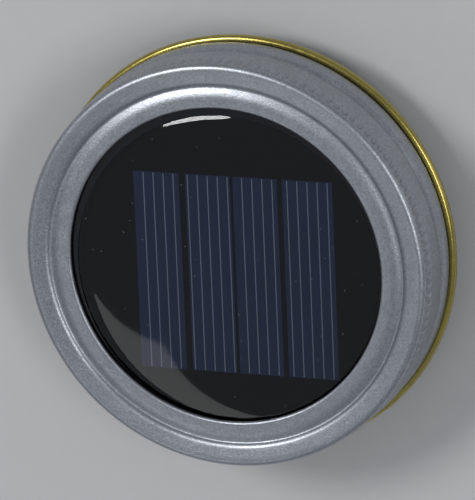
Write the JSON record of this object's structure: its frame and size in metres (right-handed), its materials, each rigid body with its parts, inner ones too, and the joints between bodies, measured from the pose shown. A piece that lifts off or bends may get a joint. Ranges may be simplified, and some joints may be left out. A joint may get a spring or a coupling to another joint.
{
  "type": "solar jar lid light",
  "caption": "Solar light lid for a mason jar: a black round solar insert held in a screw band with a knurled edge, rolled gold bead and thread; battery door, lamp window and switch below.",
  "frame": {"origin": "below the screw band's centre, at the height of the bottom cover's outer face", "axes": "+Z along the lid's axis with the solar face up, +Y along the cells' silver fingers, +X across them towards the battery's positive end"},
  "size_m": [0.073, 0.073, 0.0212],
  "materials": {
    "zinc_steel": "galvanised, satin",
    "gold_lacquer": "clear gold lacquer, glossy",
    "black_abs": "polished",
    "cover_abs": "fine spark texture",
    "silicone_rubber": "moulded, matte",
    "foam_tape": "matte",
    "black_board": "solder mask",
    "silicon_cell": "anti-reflection coating",
    "clear_resin": "cast, glossy",
    "green_board": "solder mask",
    "tinned_copper": "tinned",
    "led_epoxy": "clear epoxy, glossy",
    "frosted_acrylic": "frosted",
    "chip_epoxy": "moulded",
    "coil_lacquer": "dipped",
    "ceramic_lacquer": "dipped",
    "red_insulation": "extruded",
    "black_insulation": "extruded",
    "battery_film": "shrink film",
    "nickel_steel": "nickel plated",
    "zinc_screw": "zinc plated",
    "switch_knob": "moulded"
  },
  "bodies": {
    "insert": {"solar_housing": "black_abs", "panel_pad": "foam_tape", "panel_board": "black_board", "panel_resin": "clear_resin", "solar_cell_1": "silicon_cell", "solar_cell_2": "silicon_cell", "solar_cell_3": "silicon_cell", "solar_cell_4": "silicon_cell", "bottom_cover": "cover_abs", "light_window": "frosted_acrylic", "contact_plate": "nickel_steel", "contact_spring": "nickel_steel", "circuit_board": "green_board", "led": "led_epoxy", "led_legs": "tinned_copper", "driver_chip": "chip_epoxy", "inductor": "coil_lacquer", "capacitor": "ceramic_lacquer", "switch_body": "nickel_steel", "cover_screws": "zinc_screw", "board_screws": "zinc_screw", "panel_lead_red": "red_insulation", "panel_lead_black": "black_insulation", "battery_lead_red": "red_insulation", "battery_lead_black": "black_insulation"},
    "band": {"screw_band": "zinc_steel"},
    "gasket": {"jar_gasket": "silicone_rubber"},
    "door": {"battery_door": "cover_abs"},
    "battery": {"battery_can": "nickel_steel", "battery_sleeve": "battery_film", "battery_button": "nickel_steel"},
    "slider": {"switch_slider": "switch_knob"}
  },
  "joints": [
    {"name": "band_turn", "type": "hinge", "parent": "insert", "child": "gasket", "pos_m": [0, 0, 0.012], "axis": [0, 0, 1], "continuous": true},
    {"name": "band_lift", "type": "slide", "parent": "gasket", "child": "band", "axis": [0, 0, 1], "range_m": [0, 0.03]},
    {"name": "door_swing", "type": "hinge", "parent": "insert", "child": "door", "pos_m": [0.0003, -0.0054, 0.00075], "axis": [-1, 0, 0], "range_deg": [0, 95]},
    {"name": "battery_drop", "type": "slide", "parent": "insert", "child": "battery", "axis": [0, 0, -1], "range_m": [0, 0.01]},
    {"name": "switch_slide", "type": "slide", "parent": "insert", "child": "slider", "axis": [1, 0, 0], "range_m": [0, 0.002]}
  ],
  "couplings": [
    {"joint": "door_swing", "follows": "battery_drop", "rad_per_m": 165.8}
  ]
}
